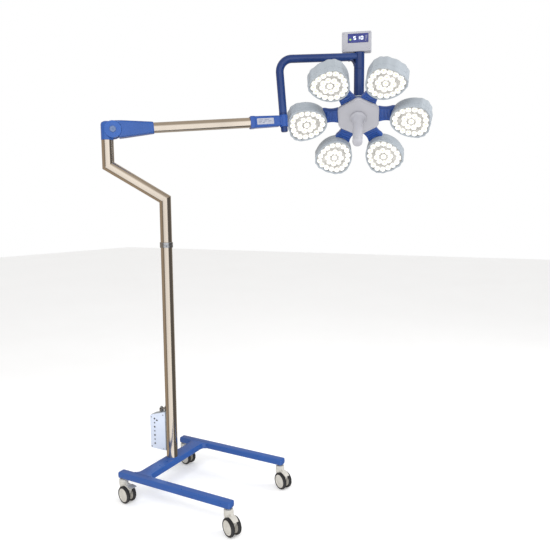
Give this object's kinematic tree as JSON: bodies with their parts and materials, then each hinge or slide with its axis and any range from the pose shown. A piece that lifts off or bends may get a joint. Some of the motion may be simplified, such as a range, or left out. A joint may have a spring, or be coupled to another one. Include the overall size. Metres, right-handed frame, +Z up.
{
  "type": "mobile surgical light",
  "caption": "Mobile operating light on an H-shaped castor base, with an offset column, balanced arm, yoke and a tilting lamp head of petal-shaped LED modules around a central handle.",
  "frame": {"origin": "middle of the bounding box in plan, on the floor under the castors", "axes": "+X runs along the base legs away from the column, +Y to the side the arm reaches over, +Z up"},
  "size_m": [1.2238, 1.0758, 2.0916],
  "materials": {
    "blue_paint": "gloss powder coat",
    "stainless": "polished",
    "steel": "machined",
    "grey_shell": "satin moulding",
    "white_panel": "moulded panel",
    "black_plastic": "moulded",
    "castor_shell": "moulded",
    "tyre": "non-marking tread",
    "castor_pedal": "moulded",
    "blue_cover": "gloss moulded cover",
    "blue_casting": "painted casting",
    "deep_blue": "gloss powder coat",
    "pale_shell": "satin moulding",
    "display": "dark display window",
    "lens": "clear optic over white reflectors"
  },
  "bodies": {
    "base": {"base_leg_right": "blue_paint", "base_leg_left": "blue_paint", "base_crossbar": "blue_paint", "column_lower_tube": "stainless", "column_anchor": "steel", "column_swivel_ring": "steel", "power_box_case": "grey_shell", "power_box_panel": "white_panel", "power_box_battery": "black_plastic", "power_box_bracket": "steel", "power_inlet": "black_plastic"},
    "power_switch": {"power_switch": "black_plastic"},
    "upper_column": {"column_upper_tube": "stainless", "column_offset_tube": "stainless", "column_post_tube": "stainless", "column_spigot": "steel"},
    "arm_swivel": {"arm_knuckle": "blue_paint"},
    "arm": {"arm_pivot_pin": "stainless", "arm_root": "steel", "arm_tube": "stainless", "arm_cover_right": "blue_cover", "arm_cover_left": "blue_cover", "arm_end_cap": "blue_casting", "balance_spring": "steel"},
    "yoke": {"yoke_spindle": "deep_blue", "yoke_tube": "deep_blue", "yoke_lamp_sleeve": "deep_blue"},
    "lamp_stem": {"lamp_stem": "deep_blue", "lamp_stem_foot": "deep_blue", "control_box_case": "pale_shell", "control_box_bezel": "pale_shell", "control_box_display": "display"},
    "lamp_head": {"petal_1_housing": "grey_shell", "petal_1_lens": "lens", "petal_2_housing": "grey_shell", "petal_2_lens": "lens", "petal_3_housing": "grey_shell", "petal_3_lens": "lens", "petal_4_housing": "grey_shell", "petal_4_lens": "lens", "petal_5_housing": "grey_shell", "petal_5_lens": "lens", "petal_6_housing": "grey_shell", "petal_6_lens": "lens", "hub_spider": "blue_casting", "hub_back_cover": "grey_shell", "tilt_pin": "stainless", "hub_front_cover": "pale_shell"},
    "handle": {"lamp_handle": "pale_shell"},
    "castor_front_right": {"castor_front_right_hood": "castor_shell"},
    "castor_front_right_wheelset": {"castor_front_right_wheels": "tyre"},
    "castor_front_left": {"castor_front_left_hood": "castor_shell"},
    "castor_front_left_wheelset": {"castor_front_left_wheels": "tyre"},
    "castor_rear_right": {"castor_rear_right_hood": "castor_shell"},
    "castor_rear_right_wheelset": {"castor_rear_right_wheels": "tyre"},
    "castor_rear_right_pedal": {"castor_rear_right_brake": "castor_pedal"},
    "castor_rear_left": {"castor_rear_left_hood": "castor_shell"},
    "castor_rear_left_wheelset": {"castor_rear_left_wheels": "tyre"},
    "castor_rear_left_pedal": {"castor_rear_left_brake": "castor_pedal"}
  },
  "joints": [
    {"name": "column_swivel", "type": "hinge", "parent": "base", "child": "upper_column", "pos_m": [-0.40631, -0.2769, 1.128], "axis": [0, 0, 1], "range_deg": [-170, 170]},
    {"name": "arm_swivel", "type": "hinge", "parent": "upper_column", "child": "arm_swivel", "pos_m": [-0.58169, -0.43482, 1.619], "axis": [0, 0, 1], "range_deg": [-120, 120]},
    {"name": "arm_tilt", "type": "hinge", "parent": "arm_swivel", "child": "arm", "pos_m": [-0.56311, -0.41809, 1.619], "axis": [0.6691, -0.7431, 0], "range_deg": [-28, 18]},
    {"name": "yoke_swivel", "type": "hinge", "parent": "arm", "child": "yoke", "pos_m": [-0.00162, 0.08748, 1.67979], "axis": [-0.0596, -0.0537, 0.9968], "range_deg": [-80, 80]},
    {"name": "stem_swivel", "type": "hinge", "parent": "yoke", "child": "lamp_stem", "pos_m": [0.27267, 0.32807, 1.98303], "axis": [0, 0, 1], "range_deg": [-150, 150]},
    {"name": "head_tilt", "type": "hinge", "parent": "lamp_stem", "child": "lamp_head", "pos_m": [0.27267, 0.32807, 1.75403], "axis": [0.9483, 0.3173, 0], "range_deg": [-15, 60]},
    {"name": "handle_turn", "type": "hinge", "parent": "lamp_head", "child": "handle", "pos_m": [0.27267, 0.32807, 1.75403], "axis": [0.214, -0.6395, -0.7385], "range_deg": [0, 60]},
    {"name": "castor_front_right_swivel", "type": "hinge", "parent": "base", "child": "castor_front_right", "pos_m": [0.04669, -0.4939, 0.106], "axis": [0, 0, 1], "continuous": true},
    {"name": "castor_front_right_roll", "type": "hinge", "parent": "castor_front_right", "child": "castor_front_right_wheelset", "pos_m": [0.06679, -0.50285, 0.0375], "axis": [0.4067, 0.9135, 0], "continuous": true},
    {"name": "castor_front_left_swivel", "type": "hinge", "parent": "base", "child": "castor_front_left", "pos_m": [0.04669, -0.0599, 0.106], "axis": [0, 0, 1], "continuous": true},
    {"name": "castor_front_left_roll", "type": "hinge", "parent": "castor_front_left", "child": "castor_front_left_wheelset", "pos_m": [0.06679, -0.06885, 0.0375], "axis": [0.4067, 0.9135, 0], "continuous": true},
    {"name": "castor_rear_right_swivel", "type": "hinge", "parent": "base", "child": "castor_rear_right", "pos_m": [-0.50431, -0.4939, 0.106], "axis": [0, 0, 1], "continuous": true},
    {"name": "castor_rear_right_roll", "type": "hinge", "parent": "castor_rear_right", "child": "castor_rear_right_wheelset", "pos_m": [-0.48279, -0.49848, 0.0375], "axis": [0.2079, 0.9781, 0], "continuous": true},
    {"name": "castor_rear_right_brake_press", "type": "hinge", "parent": "castor_rear_right", "child": "castor_rear_right_pedal", "pos_m": [-0.4554, -0.5043, 0.081], "axis": [0.2079, 0.9781, 0], "range_deg": [0, 15]},
    {"name": "castor_rear_left_swivel", "type": "hinge", "parent": "base", "child": "castor_rear_left", "pos_m": [-0.50431, -0.0599, 0.106], "axis": [0, 0, 1], "continuous": true},
    {"name": "castor_rear_left_roll", "type": "hinge", "parent": "castor_rear_left", "child": "castor_rear_left_wheelset", "pos_m": [-0.48279, -0.06448, 0.0375], "axis": [0.2079, 0.9781, 0], "continuous": true},
    {"name": "castor_rear_left_brake_press", "type": "hinge", "parent": "castor_rear_left", "child": "castor_rear_left_pedal", "pos_m": [-0.4554, -0.0703, 0.081], "axis": [0.2079, 0.9781, 0], "range_deg": [0, 15]},
    {"name": "power_switch_rock", "type": "hinge", "parent": "base", "child": "power_switch", "pos_m": [-0.51431, -0.2769, 0.235], "axis": [0, 1, 0], "range_deg": [0, 12]}
  ]
}
